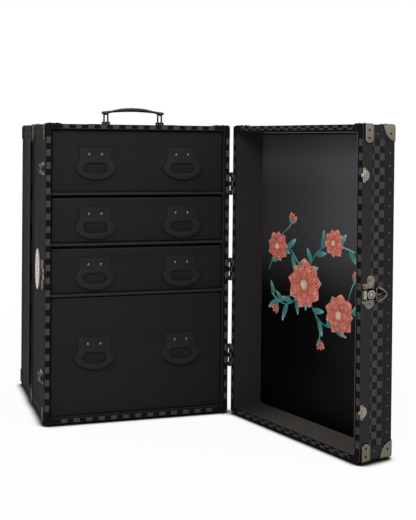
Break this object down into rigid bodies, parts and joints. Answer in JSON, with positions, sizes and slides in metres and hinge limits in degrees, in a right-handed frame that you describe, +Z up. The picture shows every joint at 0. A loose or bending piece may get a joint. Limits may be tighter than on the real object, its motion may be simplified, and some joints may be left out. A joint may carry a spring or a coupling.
{
  "type": "wardrobe trunk",
  "caption": "Upright wardrobe trunk with sliding drawers, a deep hinged door, a hinged rear section with a hanging rod, swing catches, a hasp lock and a folding top handle.",
  "frame": {"origin": "on the floor, under the middle of the case's width and depth", "axes": "+X to the right seen from the drawers' side, +Y to the back, away from the drawers, +Z up"},
  "size_m": [0.9755, 1.2366, 1.0692],
  "materials": {
    "boards": "plywood boards under chequered coated canvas",
    "inside_lining": "matt black cloth-lined board",
    "lacquer_panel": "black lacquer, polished",
    "lip_grey": "satin grey edge strip",
    "trim_fibre": "black pressed fibre trim",
    "hardware": "aged pewter-coloured plating",
    "dark_metal": "black japanned steel",
    "leather_black": "smooth black leather",
    "plated_rod": "plated tube",
    "badge_enamel": "white enamel with a dark edge",
    "hardwood": "oiled hardwood",
    "drawer_face": "black cloth-covered drawer front",
    "drawer_wood": "thin drawer boards",
    "pull_leather": "moulded black leather",
    "rivet_metal": "domed nickel rivet"
  },
  "bodies": {
    "case": {"case_left_wall": "boards", "case_right_wall": "boards", "case_top_wall": "boards", "case_bottom_wall": "boards", "case_back_panel": "inside_lining", "case_shelves": "inside_lining", "case_runners": "hardwood", "case_edge_trim": "trim_fibre", "case_clamps": "hardware", "bottom_battens": "hardwood", "side_badge": "badge_enamel", "catch_bases": "hardware", "lock_receiver": "hardware", "rear_keepers": "hardware", "hinge_case_leaves": "dark_metal", "hinge_pins": "hardware", "rear_hinge_case_leaf": "dark_metal", "handle_tabs": "leather_black", "handle_mounts": "dark_metal"},
    "front_door": {"door_frame": "boards", "door_face_panel": "boards", "door_lining_panel": "lacquer_panel", "door_inner_lip": "lip_grey", "door_edge_trim": "trim_fibre", "door_clamps": "hardware", "door_corner_caps": "hardware", "hinge_door_leaves": "dark_metal", "door_keepers": "hardware", "lock_plate": "hardware"},
    "lock_hasp": {"lock_hasp": "hardware"},
    "rear_section": {"rear_frame": "boards", "rear_face_panel": "boards", "rear_edge_trim": "trim_fibre", "rear_clamps": "hardware", "rear_corner_caps": "hardware", "rear_hinge_leaf": "dark_metal", "hanging_rod": "plated_rod", "rear_catch_bases": "hardware"},
    "handle": {"handle_rings": "dark_metal", "handle_grip": "leather_black"},
    "front_catch_upper": {"front_catch_upper_lever": "hardware"},
    "rear_catch_upper": {"rear_catch_upper_lever": "hardware"},
    "front_catch_lower": {"front_catch_lower_lever": "hardware"},
    "rear_catch_lower": {"rear_catch_lower_lever": "hardware"},
    "drawer_1": {"drawer_1_front": "drawer_face", "drawer_1_box": "drawer_wood", "drawer_1_pulls": "pull_leather", "drawer_1_rivets": "rivet_metal"},
    "drawer_2": {"drawer_2_front": "drawer_face", "drawer_2_box": "drawer_wood", "drawer_2_pulls": "pull_leather", "drawer_2_rivets": "rivet_metal"},
    "drawer_3": {"drawer_3_front": "drawer_face", "drawer_3_box": "drawer_wood", "drawer_3_pulls": "pull_leather", "drawer_3_rivets": "rivet_metal"},
    "drawer_4": {"drawer_4_front": "drawer_face", "drawer_4_box": "drawer_wood", "drawer_4_pulls": "pull_leather", "drawer_4_rivets": "rivet_metal"}
  },
  "joints": [
    {"name": "door_hinge", "type": "hinge", "parent": "case", "child": "front_door", "pos_m": [0.33, -0.1555, 0.5], "axis": [0, 0, 1], "range_deg": [-106, 64]},
    {"name": "rear_hinge", "type": "hinge", "parent": "case", "child": "rear_section", "pos_m": [-0.3297, 0.1555, 0.5], "axis": [0, 0, 1], "range_deg": [0, 110]},
    {"name": "handle_fold", "type": "hinge", "parent": "case", "child": "handle", "pos_m": [0, -0.045, 1.0155], "axis": [1, 0, 0], "range_deg": [-78, 78]},
    {"name": "hasp_swing", "type": "hinge", "parent": "front_door", "child": "lock_hasp", "pos_m": [0.52023, -0.78807, 0.506], "axis": [0, 0, -1], "range_deg": [0, 170]},
    {"name": "front_catch_lower_swing", "type": "hinge", "parent": "case", "child": "front_catch_lower", "pos_m": [-0.3295, -0.133, 0.159], "axis": [0, 0, 1], "range_deg": [0, 175]},
    {"name": "rear_catch_lower_swing", "type": "hinge", "parent": "rear_section", "child": "rear_catch_lower", "pos_m": [0.3295, 0.178, 0.159], "axis": [0, 0, -1], "range_deg": [0, 175]},
    {"name": "front_catch_upper_swing", "type": "hinge", "parent": "case", "child": "front_catch_upper", "pos_m": [-0.3295, -0.133, 0.858], "axis": [0, 0, 1], "range_deg": [0, 175]},
    {"name": "rear_catch_upper_swing", "type": "hinge", "parent": "rear_section", "child": "rear_catch_upper", "pos_m": [0.3295, 0.178, 0.858], "axis": [0, 0, -1], "range_deg": [0, 175]},
    {"name": "drawer_1_slide", "type": "slide", "parent": "case", "child": "drawer_1", "axis": [0, -1, 0], "range_m": [0, 0.2]},
    {"name": "drawer_2_slide", "type": "slide", "parent": "case", "child": "drawer_2", "axis": [0, -1, 0], "range_m": [0, 0.2]},
    {"name": "drawer_3_slide", "type": "slide", "parent": "case", "child": "drawer_3", "axis": [0, -1, 0], "range_m": [0, 0.2]},
    {"name": "drawer_4_slide", "type": "slide", "parent": "case", "child": "drawer_4", "axis": [0, -1, 0], "range_m": [0, 0.2]}
  ]
}
